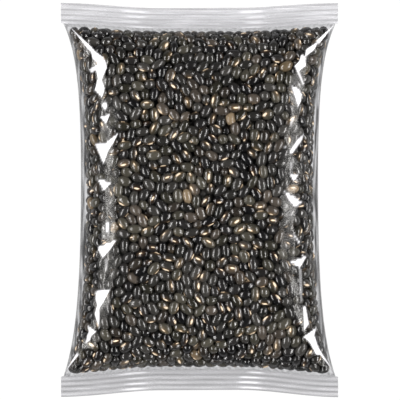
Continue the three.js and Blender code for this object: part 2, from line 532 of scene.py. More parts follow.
class Shader:
    """Builds the nodes of one material or world."""

    def __init__(self, tree: bpy.types.NodeTree) -> None:
        """Starts on an emptied node tree."""
        self.tree = tree
        tree.nodes.clear()

    def node(self, kind: str, settings: dict | None = None,
             inputs: dict | None = None) -> bpy.types.Node:
        """Adds a node.

        Args:
            kind: The node's type.
            settings: Its properties, by name.
            inputs: Values, signals or sockets for its inputs, by name or number.

        Returns:
            The new node.
        """
        made = self.tree.nodes.new(kind)
        for label, value in (settings or {}).items():
            setattr(made, label, value)
        for label, value in (inputs or {}).items():
            link = value.socket if isinstance(value, Signal) else value
            if isinstance(link, bpy.types.NodeSocket):
                self.tree.links.new(link, made.inputs[label])
            else:
                made.inputs[label].default_value = value
        return made

    def signal(self, kind: str, output: int | str, settings: dict | None = None,
               inputs: dict | None = None) -> Signal:
        """Adds a node and gives one of its outputs as a signal."""
        return Signal(self, self.node(kind, settings, inputs).outputs[output])

    def attribute(self, name: str) -> Signal:
        """A value that the mesh holds at its corners."""
        return self.signal("ShaderNodeAttribute", "Fac", {"attribute_name": name})

    def noise(self, size: float, detail: float = 2.0) -> Signal:
        """Noise fixed to the object.

        Args:
            size: The size of its features in metres.
            detail: How many finer layers it has.

        Returns:
            The noise, from 0 to 1.
        """
        place = self.node("ShaderNodeTexCoord").outputs["Object"]
        inputs = {"Vector": place, "Scale": 1.0 / size, "Detail": detail}
        return self.signal("ShaderNodeTexNoise", "Fac", None, inputs)

    def blend(self, share: Signal, first: object, second: object) -> bpy.types.NodeSocket:
        """A colour that goes from the first to the second as share goes from 0 to 1.

        Args:
            share: The share of the second colour.
            first: A colour or a colour's socket.
            second: A colour or a colour's socket.

        Returns:
            The socket of the mixed colour.
        """
        node = self.node("ShaderNodeMix", {"data_type": "RGBA"}, {"Factor": share})
        for number, colour in ((6, first), (7, second)):
            if isinstance(colour, bpy.types.NodeSocket):
                self.tree.links.new(colour, node.inputs[number])
            else:
                node.inputs[number].default_value = (*colour, 1.0)
        return node.outputs[2]

    def ramp(self, place: Signal, stops: Sequence[tuple[float, Colour]]) -> bpy.types.NodeSocket:
        """A colour that goes from stop to stop.

        Args:
            place: Where between the stops it is.
            stops: The place and the colour of each stop.

        Returns:
            The socket of the colour.
        """
        node = self.node("ShaderNodeValToRGB", None, {"Fac": place})
        elements = node.color_ramp.elements
        while len(elements) < len(stops):
            elements.new(1.0)
        for element, (position, colour) in zip(elements, stops):
            element.position = position
            element.color = (*colour, 1.0)
        return node.outputs["Color"]

    def relief(self, grain: Grain) -> bpy.types.NodeSocket:
        """A normal bent by a grain.

        Args:
            grain: The grain of the surface.

        Returns:
            The socket of the normal.
        """
        height = self.noise(grain.size, grain.detail)
        inputs = {"Height": height, "Distance": grain.depth, "Strength": grain.strength}
        return self.node("ShaderNodeBump", None, inputs).outputs["Normal"]

    def principled(self, inputs: dict) -> bpy.types.Node:
        """A Principled shader with values, signals or sockets for its inputs."""
        return self.node("ShaderNodeBsdfPrincipled", None, inputs)

    def mix(self, share: Signal, first: bpy.types.Node, second: bpy.types.Node) -> bpy.types.Node:
        """A shader that goes from the first to the second as share goes from 0 to 1."""
        inputs = {0: share, 1: first.outputs[0], 2: second.outputs[0]}
        return self.node("ShaderNodeMixShader", None, inputs)

    def finish(self, shader: bpy.types.Node) -> None:
        """Sends a shader node to the material's output."""
        self.node("ShaderNodeOutputMaterial", None, {"Surface": shader.outputs[0]})


def new_material(name: str) -> tuple[bpy.types.Material, Shader]:
    """A bare material and the builder of its nodes.

    Args:
        name: The material's name.

    Returns:
        The material and its shader.
    """
    material = bpy.data.materials.new(name)
    material.use_nodes = True
    return material, Shader(material.node_tree)


# Finishes


@dataclass(frozen=True)
class FilmFinish:
    """Thin clear film, which mirrors at grazing angles and is milky where it is hazy.

    Attributes:
        head_on: How much it mirrors when seen head on.
        grazing: How much more it mirrors at a grazing angle.
        falloff: How fast that fades towards head on, as an exponent.
        mirror: The colour of its mirror.
        tint: The colour of what shows through it.
        roughness: How rough its mirror is where it is clear.
        hazy_roughness: How rough its mirror is where it is hazy.
        dark_milk: The colour of its haze where that has no glow.
        light_milk: The colour of its haze where that glows most, which is also the colour of its
            painted highlights.
        milk_roughness: How rough its haze is.
    """

    head_on: float = 0.09
    grazing: float = 0.85
    falloff: float = 4.0
    mirror: Colour = (0.11, 0.11, 0.11)
    tint: Colour = (0.955, 0.955, 0.965)
    roughness: float = 0.2
    hazy_roughness: float = 0.35
    dark_milk: Colour = (0.03, 0.03, 0.032)
    light_milk: Colour = (0.61, 0.615, 0.655)
    milk_roughness: float = 0.45

    def material(self) -> bpy.types.Material:
        """The film's material, which reads the haze and its glow at each corner, with their painted
        light and shade.

        Returns:
            The material.
        """
        made, shader = new_material("clear_film")
        haze = shader.attribute("haze")
        # The glow carries painted highlights, painted shade and painted reflection into the milk's
        # colour.
        milk_and_painted_light = shader.blend(shader.attribute("glow"), self.dark_milk, self.light_milk)
        facing = shader.signal("ShaderNodeLayerWeight", "Facing", None, {"Blend": 0.5})
        mirroring = facing.power(self.falloff) * self.grazing + self.head_on
        clear = shader.node("ShaderNodeBsdfTransparent", None, {"Color": (*self.tint, 1.0)})
        milky = shader.principled({"Base Color": milk_and_painted_light, "Roughness": self.milk_roughness})
        mirror = shader.principled({
            "Base Color": (*self.mirror, 1.0),
            "Metallic": 1.0,
            "Roughness": haze * (self.hazy_roughness - self.roughness) + self.roughness,
        })
        sheet = shader.mix(haze, clear, milky)
        shader.finish(shader.mix(mirroring, sheet, mirror))
        return made


@dataclass(frozen=True)
class BeanFinish:
    """A dry, satin seed coat: mottled, each bean a little lighter or darker than the next.

    Attributes:
        name: The name of the piece that wears it.
        dark: The colour of its darkest spots.
        light: The colour of its lightest spots.
        halo: The colour round its scar.
        tone: How much lighter the lightest bean is than the darkest.
        mottle: How much lighter the lightest spots of a bean are than its darkest.
        lowered: How far all beans are darkened, to leave light spots few.
        mottle_size: The size of the spots.
        mottle_detail: How many finer layers the spots have.
        roughness: How rough it is on average.
        roughness_spread: How much rougher its roughest spots are than its smoothest.
        roughness_size: The size of those spots.
        ior: Its index of refraction.
        grain: Its fine wrinkles.
    """

    name: str
    dark: Colour
    light: Colour
    halo: Colour
    tone: float = 0.85
    mottle: float = 0.5
    lowered: float = 0.22
    mottle_size: float = 0.9 * MM
    mottle_detail: float = 3.0
    roughness: float = 0.17
    roughness_spread: float = 0.14
    roughness_size: float = 0.6 * MM
    ior: float = 1.5
    grain: Grain = Grain(size=0.7 * MM, depth=0.14 * MM, strength=0.75, detail=3.0)

    def material(self) -> bpy.types.Material:
        """The coat's material, which reads each bean's tone and the halo round its scar.

        Returns:
            The material.
        """
        made, shader = new_material(self.name)
        spots = shader.noise(self.mottle_size, self.mottle_detail)
        tone = (shader.attribute("tone") * self.tone + spots * self.mottle - self.lowered).capped(1.0)
        coat = shader.blend(tone, self.dark, self.light)
        smoothest = self.roughness - 0.5 * self.roughness_spread
        skin = shader.principled({
            "Base Color": shader.blend(shader.attribute("halo"), coat, self.halo),
            "Roughness": shader.noise(self.roughness_size) * self.roughness_spread + smoothest,
            "Normal": shader.relief(self.grain),
            "IOR": self.ior,
        })
        shader.finish(skin)
        return made


class BeanKind(Enum):
    """The kinds of bean in the bag, each with its share of the beans and its finish."""

    BLACK = 0.30, BeanFinish(
        "black_beans",
        dark=(0.003, 0.003, 0.0035),
        light=(0.019, 0.018, 0.0175),
        halo=(0.070, 0.040, 0.020),
    )
    CHARCOAL = 0.38, BeanFinish(
        "charcoal_beans",
        dark=(0.006, 0.006, 0.0055),
        light=(0.039, 0.037, 0.034),
        halo=(0.110, 0.070, 0.035),
    )
    OLIVE = 0.20, BeanFinish(
        "olive_beans",
        dark=(0.011, 0.0105, 0.0075),
        light=(0.056, 0.052, 0.041),
        halo=(0.150, 0.100, 0.050),
    )
    BROWN = 0.11, BeanFinish(
        "brown_beans",
        dark=(0.013, 0.011, 0.009),
        light=(0.066, 0.055, 0.045),
        halo=(0.180, 0.120, 0.060),
    )
    TAN = 0.01, BeanFinish(
        "tan_beans",
        dark=(0.080, 0.060, 0.036),
        light=(0.200, 0.150, 0.095),
        halo=(0.300, 0.200, 0.110),
    )

    @property
    def share(self) -> float:
        """The kind's share of all beans."""
        return self.value[0]

    @property
    def finish(self) -> BeanFinish:
        """The kind's finish."""
        return self.value[1]


@dataclass(frozen=True)
class ScarFinish:
    """The pale oval scar where a bean was joined to its pod, golden at its rim.

    Attributes:
        middle: Its colour in the middle.
        rim: Its colour at its rim.
        rim_start: Where it starts to turn to that, from 0 in the middle to 1 at the rim.
        roughness: How rough it is.
        grain: Its fine relief.
    """

    middle: Colour = (0.68, 0.57, 0.43)
    rim: Colour = (0.34, 0.22, 0.11)
    rim_start: float = 0.62
    roughness: float = 0.55
    grain: Grain = Grain(size=0.2 * MM, depth=0.04 * MM, strength=0.3)

    def material(self) -> bpy.types.Material:
        """The scar's material, which reads how near a corner is to the scar's rim.

        Returns:
            The material.
        """
        made, shader = new_material("bean_scars")
        stops = [(0.0, self.middle), (self.rim_start, self.middle), (1.0, self.rim)]
        chalk = shader.principled({
            "Base Color": shader.ramp(shader.attribute("rim"), stops),
            "Roughness": self.roughness,
            "Normal": shader.relief(self.grain),
        })
        shader.finish(chalk)
        return made


@dataclass(frozen=True)
class CoreShadeFinish:
    """Painted shade: a near-black stand-in for the shaded depth between the beans.

    Attributes:
        shade: Its colour where it is darkest.
        lit: Its colour where it is lightest.
        mottle_size: The size of its spots, about that of a bean.
        roughness: How rough it is.
    """

    shade: Colour = (0.001, 0.001, 0.001)
    lit: Colour = (0.004, 0.004, 0.0035)
    mottle_size: float = 4.0 * MM
    roughness: float = 0.8

    def material(self) -> bpy.types.Material:
        """The core's material.

        Returns:
            The material.
        """
        made, shader = new_material("bean_shade_core")
        # Painted shade: the core's near-black colours stand for the shade between and behind the
        # beans.
        depth = shader.blend(shader.noise(self.mottle_size), self.shade, self.lit)
        shader.finish(shader.principled({"Base Color": depth, "Roughness": self.roughness}))
        return made


# The film


@dataclass(frozen=True)
class CreaseHighlight:
    """A painted highlight along a straight crease of the film, which starts at a corner and widens
    inwards.

    Attributes:
        start: Its x and y at the corner.
        end: Its x and y at its inner end.
        reach: Half its width at its inner end.
        taper: How its width grows from the corner, as an exponent.
        edge: How wide its soft edge is.
        boldness: How white it is along its edge, from 0 to 1.
        fade_in: How fast it starts, in shares of its length.
        fade_out: How fast it ends, in shares of its length.
    """

    start: tuple[float, float]
    end: tuple[float, float]
    reach: float
    taper: float = 1.6
    edge: float = 0.25 * MM
    boldness: float = 0.6
    fade_in: float = 8.0
    fade_out: float = 6.0

    def share(self, points: Floats) -> Floats:
        """How white the painted highlight along the crease makes the film.

        Args:
            points: Places on the film.

        Returns:
            The white of each place, from 0 to 1.
        """
        way = np.subtract(self.end, self.start)
        length = np.hypot(*way)
        off = points[..., :2] - self.start
        along = off @ way / length**2
        aside = np.abs(off[..., 0] * way[1] - off[..., 1] * way[0]) / length
        half = self.reach * np.clip(along, 0.0, 1.0) ** self.taper
        within = smooth_step(self.boldness + (half - aside) / self.edge)
        return within * smooth_step(self.fade_in * along) * smooth_step(self.fade_out * (1.0 - along))


@dataclass(frozen=True)
class HighlightPatch:
    """A painted highlight: white haze on a patch of film, stretched flat between beans, where it
    would catch a strip light whole.

    Attributes:
        corners: The x and y of its corners in millimetres, in order round a convex outline.
        strength: How white it is, from 0 to 1.
        edge: How wide its soft edge is.
    """

    corners: tuple[tuple[float, float], ...]
    strength: float = 1.0
    edge: float = 0.45 * MM

    def share(self, points: Floats) -> Floats:
        """How white the painted highlight makes the film.

        Args:
            points: Places on the film.

        Returns:
            The white of each place, from 0 to the patch's strength.
        """
        ring = MM * np.array(self.corners)
        ways = unit(np.roll(ring, -1, axis=0) - ring)
        off = points[..., None, :2] - ring
        aside = ways[:, 0] * off[..., 1] - ways[:, 1] * off[..., 0]
        middle = ring.mean(axis=0) - ring
        inward = np.sign(ways[:, 0] * middle[:, 1] - ways[:, 1] * middle[:, 0])
        return self.strength * smooth_step(0.5 + (aside * inward).min(axis=-1) / self.edge)


@dataclass(frozen=True)
class Mark:
    """What one kind of mark adds to a seal, where it is strongest: painted shade, a painted highlight
    or fine ripples.

    Attributes:
        haze: What it adds to the haze.
        glow: What it adds to the glow.
        corner_haze: What more it adds to the haze at the bag's corners.
        corner_glow: What more it adds to the glow there.
    """

    haze: float = 0.0
    glow: float = 0.0
    corner_haze: float = 0.0
    corner_glow: float = 0.0


@dataclass(frozen=True)
class Haze:
    """How cloudy the film is where it is sealed, folded or gathered, and the light and shade painted
    into that haze.

    The haze goes from 0, clear, to 1. Its glow goes from 0, dark grey, to 1, white.

    Attributes:
        sealed: The haze of the seals between their marks.
        most: The most haze anywhere.
        line: The dark lines between the ribs, painted shade.
        line_width: How wide they are, as a share of a rib.
        crest: The light crests of the ribs, a painted highlight.
        crest_width: How wide they are, as a share of a rib.
        glint: The painted highlights on the ribs, glints of light.
        glint_width: How wide they are, as a share of a rib.
        glints: Places across the seals where glints are painted, with their reach.
        glint_least: The least shift, stretch and strength of a glint on one rib.
        glint_most: The most shift, stretch and strength of a glint on one rib.
        fibre: The fine ripples along the ribs.
        corner: How far out the seals' corners start.
        corner_reach: Over how far the marks then grow to what they are at the corners.
        fold_haze: The haze of the side folds, partly the film's own haze and partly a painted grey
            reflection.
        fold_reflection_glow: The glow of the side folds, a dark grey painted reflection.
        fold_reach: How far they reach in from the sides.
        fold_evenness: How strong they are between their streaks.
        fold_streaks: How far the streaks strengthen or weaken them.
        upper_fold: How strong they are on the upper face, as a share of the lower one.
        end_start: How far from a seal the folds start to change from the seal's haze.
        end_reach: Over how far they then change to their own.
        hem_haze: The haze beside the seals.
        hem_reach: How far it reaches in.
        hem_evenness: How strong it is between its streaks.
        hem_streaks: How far the streaks strengthen or weaken it.
        least: The haze below which the glow fades out.
        crease_highlights: The painted highlights along the creases at the corners.
        highlight_patches: The painted highlights along both sides, white patches where flat film
            would catch the light, from the top end down.
    """

    sealed: float = 0.42
    most: float = 0.95
    line: Mark = Mark(haze=0.1, glow=-0.16, corner_haze=0.06, corner_glow=-0.07)
    line_width: float = 0.11
    crest: Mark = Mark(glow=0.09, corner_glow=0.08)
    crest_width: float = 0.2
    glint: Mark = Mark(haze=0.45, glow=0.7)
    glint_width: float = 0.17
    glints: tuple[tuple[float, float], ...] = ((-23.0 * MM, 4.5 * MM), (19.0 * MM, 4.0 * MM))
    glint_least: tuple[float, float, float] = (-0.4, 0.6, 0.6)
    glint_most: tuple[float, float, float] = (0.4, 1.3, 1.3)
    fibre: Mark = Mark(haze=0.05, glow=0.07)
    corner: float = 38.0 * MM
    corner_reach: float = 10.0 * MM
    fold_haze: float = 0.95
    fold_reflection_glow: float = 0.12
    fold_reach: float = 2.2 * MM
    fold_evenness: float = 0.65
    fold_streaks: float = 0.5
    upper_fold: float = 0.2
    end_start: float = 1.0 * MM
    end_reach: float = 5.0 * MM
    hem_haze: float = 0.3
    hem_reach: float = 1.3 * MM
    hem_evenness: float = 0.6
    hem_streaks: float = 0.5
    least: float = 1e-6
    # Painted highlights along the corner creases, as white haze.
    crease_highlights: tuple[CreaseHighlight, ...] = (
        CreaseHighlight((-47.5 * MM, 63.2 * MM), (-37.4 * MM, 52.2 * MM), 0.9 * MM),
        CreaseHighlight((49.3 * MM, 63.9 * MM), (41.0 * MM, 54.9 * MM), 0.9 * MM),
        CreaseHighlight((-48.6 * MM, -62.1 * MM), (-42.6 * MM, -53.8 * MM), 0.6 * MM),
        CreaseHighlight((48.9 * MM, -62.5 * MM), (38.6 * MM, -48.5 * MM), 1.1 * MM),
    )
    # Painted highlights: white haze patches standing for flat film that catches the strip lights.
    highlight_patches: tuple[HighlightPatch, ...] = (
        HighlightPatch(((-38.8, 54.0), (-33.5, 50.0), (-35.5, 47.9), (-37.7, 49.9))),
        HighlightPatch(((-36.1, 48.4), (-33.3, 49.7), (-32.5, 46.6), (-36.2, 45.1))),
        HighlightPatch(((-36.4, 45.5), (-32.5, 46.6), (-35.2, 40.6))),
        HighlightPatch(((-35.2, 44.8), (-33.3, 39.1), (-34.3, 36.0), (-36.9, 38.7))),
        HighlightPatch(((-36.0, 47.7), (-36.1, 45.9), (-38.2, 44.8), (-39.1, 46.2)), 0.8),
        HighlightPatch(((-34.7, 33.8), (-32.7, 34.3), (-32.3, 32.9), (-33.2, 31.3)), 0.9),
        HighlightPatch(((-35.0, 29.2), (-31.5, 30.1), (-32.8, 26.8))),
        HighlightPatch(((-36.9, 19.6), (-32.3, 20.0), (-32.2, 17.0), (-33.7, 12.7))),
        HighlightPatch(((-32.5, 20.4), (-28.5, 23.5), (-30.1, 20.2), (-32.2, 17.1))),
        HighlightPatch(((-36.3, 7.7), (-31.0, 6.0), (-33.6, 3.3))),
        HighlightPatch(((-32.9, -7.6), (-31.7, -7.9), (-32.0, -12.1), (-32.9, -11.0)), 0.8),
        HighlightPatch(((-36.1, -16.8), (-28.9, -13.8), (-31.8, -18.0), (-34.1, -20.4))),
        HighlightPatch(((-33.4, -20.2), (-32.2, -20.5), (-32.3, -25.1), (-33.2, -24.8)), 0.3),
        HighlightPatch(((-36.3, -32.2), (-31.3, -31.2), (-34.1, -36.5), (-35.6, -38.4), (-36.7, -34.3))),
        HighlightPatch(((-36.2, -37.7), (-35.2, -37.1), (-35.3, -45.1), (-36.9, -40.2))),
        HighlightPatch(((-39.5, -44.1), (-36.2, -46.6), (-38.9, -47.9))),
        HighlightPatch(((-39.4, -47.0), (-37.8, -47.3), (-38.7, -49.7), (-40.4, -50.8)), 0.8),
        HighlightPatch(((42.2, 56.3), (40.6, 53.1), (37.3, 50.6), (37.5, 53.1))),
        HighlightPatch(((35.9, 51.2), (37.3, 50.8), (37.5, 47.3), (34.5, 47.0))),
        HighlightPatch(((33.4, 47.1), (34.9, 48.6), (37.5, 47.3), (34.5, 45.1))),
        HighlightPatch(((34.0, 45.9), (34.8, 46.0), (36.9, 40.9), (36.5, 40.4)), 0.9),
        HighlightPatch(((32.3, 40.2), (35.1, 39.1), (36.0, 36.8), (33.4, 36.7))),
        HighlightPatch(((33.3, 37.1), (36.0, 37.1), (35.7, 34.7), (34.7, 32.7))),
        HighlightPatch(((32.0, 29.0), (32.9, 28.6), (32.5, 25.5), (31.8, 26.2)), 0.4),
        HighlightPatch(((34.5, 21.4), (36.9, 23.5), (36.1, 20.9), (32.5, 16.1), (31.5, 17.0)), 0.9),
        HighlightPatch(((29.2, 18.7), (31.3, 19.3), (30.3, 18.4)), 0.7),
        HighlightPatch(((31.7, 13.8), (32.7, 13.8), (32.7, 10.6), (31.8, 10.6)), 0.4),
        HighlightPatch(((31.3, 9.4), (35.1, 9.2), (33.2, 6.5))),
        HighlightPatch(((29.5, 3.3), (36.2, -0.7), (33.6, -2.5), (31.7, -0.5))),
        HighlightPatch(((32.7, -12.1), (33.3, -11.9), (35.5, -15.0), (35.0, -15.4)), 0.8),
        HighlightPatch(((32.0, -21.8), (38.0, -19.6), (35.3, -23.9))),
        HighlightPatch(((34.9, -24.0), (36.1, -24.0), (36.3, -36.1), (35.4, -36.1)), 0.35),
        HighlightPatch(((36.5, -37.5), (37.4, -37.7), (38.7, -43.7), (36.9, -45.9)), 0.9),
        HighlightPatch(((36.6, -48.2), (41.4, -45.1), (40.6, -47.9), (38.9, -50.1))),
        HighlightPatch(((38.3, -48.9), (40.7, -47.9), (43.0, -54.9), (41.2, -54.7))),
    )

    def seal(self, form: BagForm, x: Floats, share: Floats, end: End, fibres: Floats,
             rng: np.random.Generator) -> tuple[Floats, Floats]:
        """The haze and its glow on a seal, with painted shade and highlights on its ribs.

        Args:
            form: The bag's form.
            x: The x of each place.
            share: How far out each place is, from 0 at the inner edge to 1 at the cut edge.
            end: The end that is sealed.
            fibres: A field of fine ripples along the ribs.
            rng: The draw that places the glints.

        Returns:
            The haze and the glow of each place.
        """
        turn = share * form.ribs - end.lines
        phase = turn - np.floor(turn)
        # Painted shade along the lines between the ribs and a painted highlight along their crests.
        line = np.exp(-((np.minimum(phase, 1.0 - phase) / self.line_width) ** 2))
        crest = np.exp(-(((phase - 0.5) / self.crest_width) ** 2))
        corner = smooth_step((np.abs(x) - self.corner) / self.corner_reach)
        # Painted highlights: glints of light on the ribs at the given places.
        glint = np.zeros(np.broadcast(x, share).shape)
        for place, reach in self.glints:
            for rib in range(-1, form.ribs):
                shift, stretch, strength = rng.uniform(self.glint_least, self.glint_most)
                off = (x - place - shift * reach) / (stretch * reach)
                glint += strength * (np.floor(turn) == rib) * np.exp(-np.abs(off) ** 3)
        glint *= np.exp(-(((phase - 0.5) / self.glint_width) ** 2))
        haze, glow = self.sealed, end.glow
        marks = (self.line, self.crest, self.glint, self.fibre)
        for mark, strength in zip(marks, (line, crest, glint, fibres)):
            haze = haze + (mark.haze + mark.corner_haze * corner) * strength
            glow = glow + (mark.glow + mark.corner_glow * corner) * strength
        return np.clip(haze, 0.0, self.most), np.clip(glow, 0.0, 1.0)

    def body(self, points: Floats, inset: Floats, to_end: Floats, streaks: Floats,
             glow: Floats, face: Face) -> tuple[Floats, Floats]:
        """The haze and its glow over the filled body, with a painted grey reflection along the sides
        and painted highlights.

        Args:
            points: The places.
            inset: How far in from its side each place is.
            to_end: How far each place is from the nearest seal.
            streaks: A field of ripples that streaks the haze.
            glow: The glow of the nearest seal.
            face: The face that the places lie on.

        Returns:
            The haze and the glow of each place.
        """
        near = 1.0 - smooth_step((to_end - self.end_start) / self.end_reach)
        # Partly painted reflection: grey haze along the side folds, mostly on the lower face.
        fold = self.fold_evenness + self.fold_streaks * streaks
        fold = fold * np.exp(-((inset / self.fold_reach) ** 4))
        if face is Face.UPPER:
            fold = fold * (self.upper_fold + (1.0 - self.upper_fold) * near)
        hem = self.hem_evenness + self.hem_streaks * streaks
        hem = hem * np.exp(-((to_end / self.hem_reach) ** 2))
        fold, hem = np.clip(fold, 0.0, 1.0), np.clip(hem, 0.0, 1.0)
        fold_haze = self.fold_haze + (self.sealed - self.fold_haze) * near
        fold_reflection_glow = self.fold_reflection_glow + (glow - self.fold_reflection_glow) * near
        haze = fold_haze * fold + self.hem_haze * hem
        shade = (fold_reflection_glow * fold + glow * hem) / (fold + hem + self.least)
        # Painted highlights: the corner creases and side patches whiten the haze and its glow.
        white = np.max([mark.share(points) for mark in self.crease_highlights + self.highlight_patches], axis=0)
        haze = haze + (self.most - haze) * white
        shade = shade + (1.0 - shade) * np.sqrt(white)
        return np.clip(haze, 0.0, self.most), np.clip(shade, 0.0, 1.0)


@dataclass
class Film:
    """The tube of clear film with its two ribbed seals, as one closed surface.

    Attributes:
        form: The bag's taut outer form.
        facets: The facets that it forms over the beans.
        haze: How cloudy it is, and the light and shade painted into that haze.
        columns: Steps across each face.
        column_ease: How much closer together they lie towards the sides, from 0 to 1.
        body_rows: Steps along the filled body.
        row_ease: How much closer together they lie towards the seals, from 0 to 1.
        seal_rows: Steps across each seal.
        seed: The seed of its dimples, gathers, streaks and glints.
        facet_side: How far in from the sides the facets reach their whole depth.
        facet_end: How far from the seals the facets reach their whole depth.
        dimple_size: The size of its dimples along X, Y and Z.
        dimple_waves: How many waves make them.
        dimple_depth: How deep they are.
        dimple_end: How far from the seals they reach that depth.
        gather_size: The size of the gathers beside the seals, along X, Y and Z.
        gather_depth: How deep they are.
        gather_start: How far from the seals they start to fade.
        gather_reach: How far they reach.
        smooth_side: How far in from the sides dimples and gathers start.
        streak_size: The size of the streaks in the haze, along X, Y and Z.
        fibre_size: The size of the fine ripples on the seals, along X, Y and Z.
        surface: Its mesh.
    """

    form: BagForm
    facets: Facets = Facets()
    haze: Haze = Haze()
    columns: int = 190
    column_ease: float = 0.6
    body_rows: int = 176
    row_ease: float = 0.55
    seal_rows: int = 36
    seed: int = 5
    facet_side: float = 5.0 * MM
    facet_end: float = 10.0 * MM
    dimple_size: tuple[float, float, float] = (4.2 * MM, 4.6 * MM, 4.2 * MM)
    dimple_waves: int = 30
    dimple_depth: float = 0.005 * MM
    dimple_end: float = 2.0 * MM
    gather_size: tuple[float, float, float] = (3.6 * MM, 22.0 * MM, 12.0 * MM)
    gather_depth: float = 0.3 * MM
    gather_start: float = 1.5 * MM
    gather_reach: float = 5.0 * MM
    smooth_side: float = 3.0 * MM
    streak_size: tuple[float, float, float] = (1.3 * MM, 12.0 * MM, 4.0 * MM)
    fibre_size: tuple[float, float, float] = (14.0 * MM, 0.9 * MM, 4.0 * MM)
    surface: Surface = field(init=False)

    def __post_init__(self) -> None:
        """Shapes the film."""
        rng = np.random.default_rng(self.seed)
        self.dimples = Ripples(rng, self.dimple_size, self.dimple_waves)
        self.gathers = Ripples(rng, self.gather_size)
        self.streaks = Ripples(rng, self.streak_size)
        self.fibres = Ripples(rng, self.fibre_size)
        self.across = eased(self.columns, self.column_ease)[None, :]
        self.along = 0.5 + 0.5 * eased(self.body_rows, self.row_ease)[:, None]
        self.band = np.linspace(0.0, 1.0, self.seal_rows + 1)[1:, None]
        half = self.form.half_width(self.form.level(self.along))
        self.inset = (1.0 - np.abs(self.across)) * half
        self.to_end = np.minimum(self.along, 1.0 - self.along) * self.form.length
        upper, lower = self.face(Face.UPPER), self.face(Face.LOWER)
        ring = np.concatenate([upper, lower[:, ::-1]], axis=1)
        faces = self.faces(*ring.shape[:2])
        self.surface = Surface(ring.reshape(-1, 3), faces, self.clouding(upper, rng))

    def face(self, face: Face) -> Floats:
        """One face of the film.

        Args:
            face: The face.

        Returns:
            A grid of points, from the bottom cut edge to the top one.
        """
        form = self.form
        below = form.seal(self.across, self.band[::-1], form.bottom, face)
        above = form.seal(self.across, self.band, form.top, face)
        taut = form.body(self.across, self.along, face)
        to_side = smooth_step(self.inset / self.facet_side)
        free = to_side * smooth_step(self.to_end / self.facet_end)
        body = self.dimpled(self.facets.flatten(taut, free), face)
        return np.concatenate([below, body, above], axis=0)

    def dimpled(self, skin: Floats, face: Face) -> Floats:
        """Dimples a skin over the beans, and gathers it beside the seals.

        Args:
            skin: The skin as a grid of points.
            face: The face that it is.

        Returns:
            The shaped skin, no lower than the floor and no higher than the bag.
        """
        outward = unit(np.cross(np.gradient(skin, axis=1), np.gradient(skin, axis=0))) * face.value
        fade = smooth_step(self.to_end / self.dimple_end)
        depth = self.dimple_depth * fade * self.dimples.at(skin)
        near = np.exp(-self.to_end / self.gather_reach) * smooth_step(self.to_end / self.gather_start)
        depth += self.gather_depth * near * self.gathers.at(skin)
        to_side = smooth_step(self.inset / self.smooth_side)
        shaped = skin + (to_side * depth)[..., None] * outward
        shaped[..., 2] = np.clip(shaped[..., 2], 0.0, self.form.thickness)
        shaped[..., 2][skin[..., 2] <= 0.0] = 0.0
        return shaped

    def clouding(self, upper: Floats, rng: np.random.Generator) -> dict[str, Floats]:
        """The haze and its glow, with their painted light and shade, round both faces.

        Args:
            upper: The upper face as a grid of points.
            rng: The draw that places the glints on the seals.

        Returns:
            A grid of each, named as the film's material reads it.
        """
        form, rows = self.form, self.seal_rows
        x = 0.5 * form.width * self.across
        low, middle, high = np.split(upper, [rows, rows + self.body_rows + 1])
        below = self.haze.seal(form, x, self.band[::-1], form.bottom, self.fibres.at(low), rng)
        above = self.haze.seal(form, x, self.band, form.top, self.fibres.at(high), rng)
        # The painted lightness of the nearest seal.
        glow = np.where(self.along > 0.5, form.top.glow, form.bottom.glow)
        streaks = self.streaks.at(middle)
        faces = []
        for face in Face:
            body = self.haze.body(middle, self.inset, self.to_end, streaks, glow, face)
            faces.append([np.concatenate(grids, axis=0) for grids in zip(below, body, above)])
        return {
            label: np.concatenate([front, back[:, ::-1]], axis=1)
            for label, front, back in zip(("haze", "glow"), *faces)
        }

    def faces(self, rows: int, round_steps: int) -> Ints:
        """The film's faces: a band between each two rows of corners, and the two cut edges.

        Args:
            rows: How many rows of corners there are.
            round_steps: How many corners each row has, round both faces.

        Returns:
            The corners of each face.
        """
        corner = np.arange(rows * round_steps).reshape(rows, round_steps)
        ahead = np.roll(corner, -1, axis=1)
        bands = np.stack([corner[:-1], ahead[:-1], ahead[1:], corner[1:]], axis=-1).reshape(-1, 4)
        upper = np.arange(round_steps // 2 - 1)
        below = round_steps - 1 - upper
        first = np.stack([upper, below, below - 1, upper + 1], axis=-1)
        last = np.stack([upper, upper + 1, below - 1, below], axis=-1) + (rows - 1) * round_steps
        return np.concatenate([bands, first, last])

    def make(self) -> None:
        """Makes the film's piece."""
        stand_in(self.surface.make("clear_film", FilmFinish().material()))


# The filling


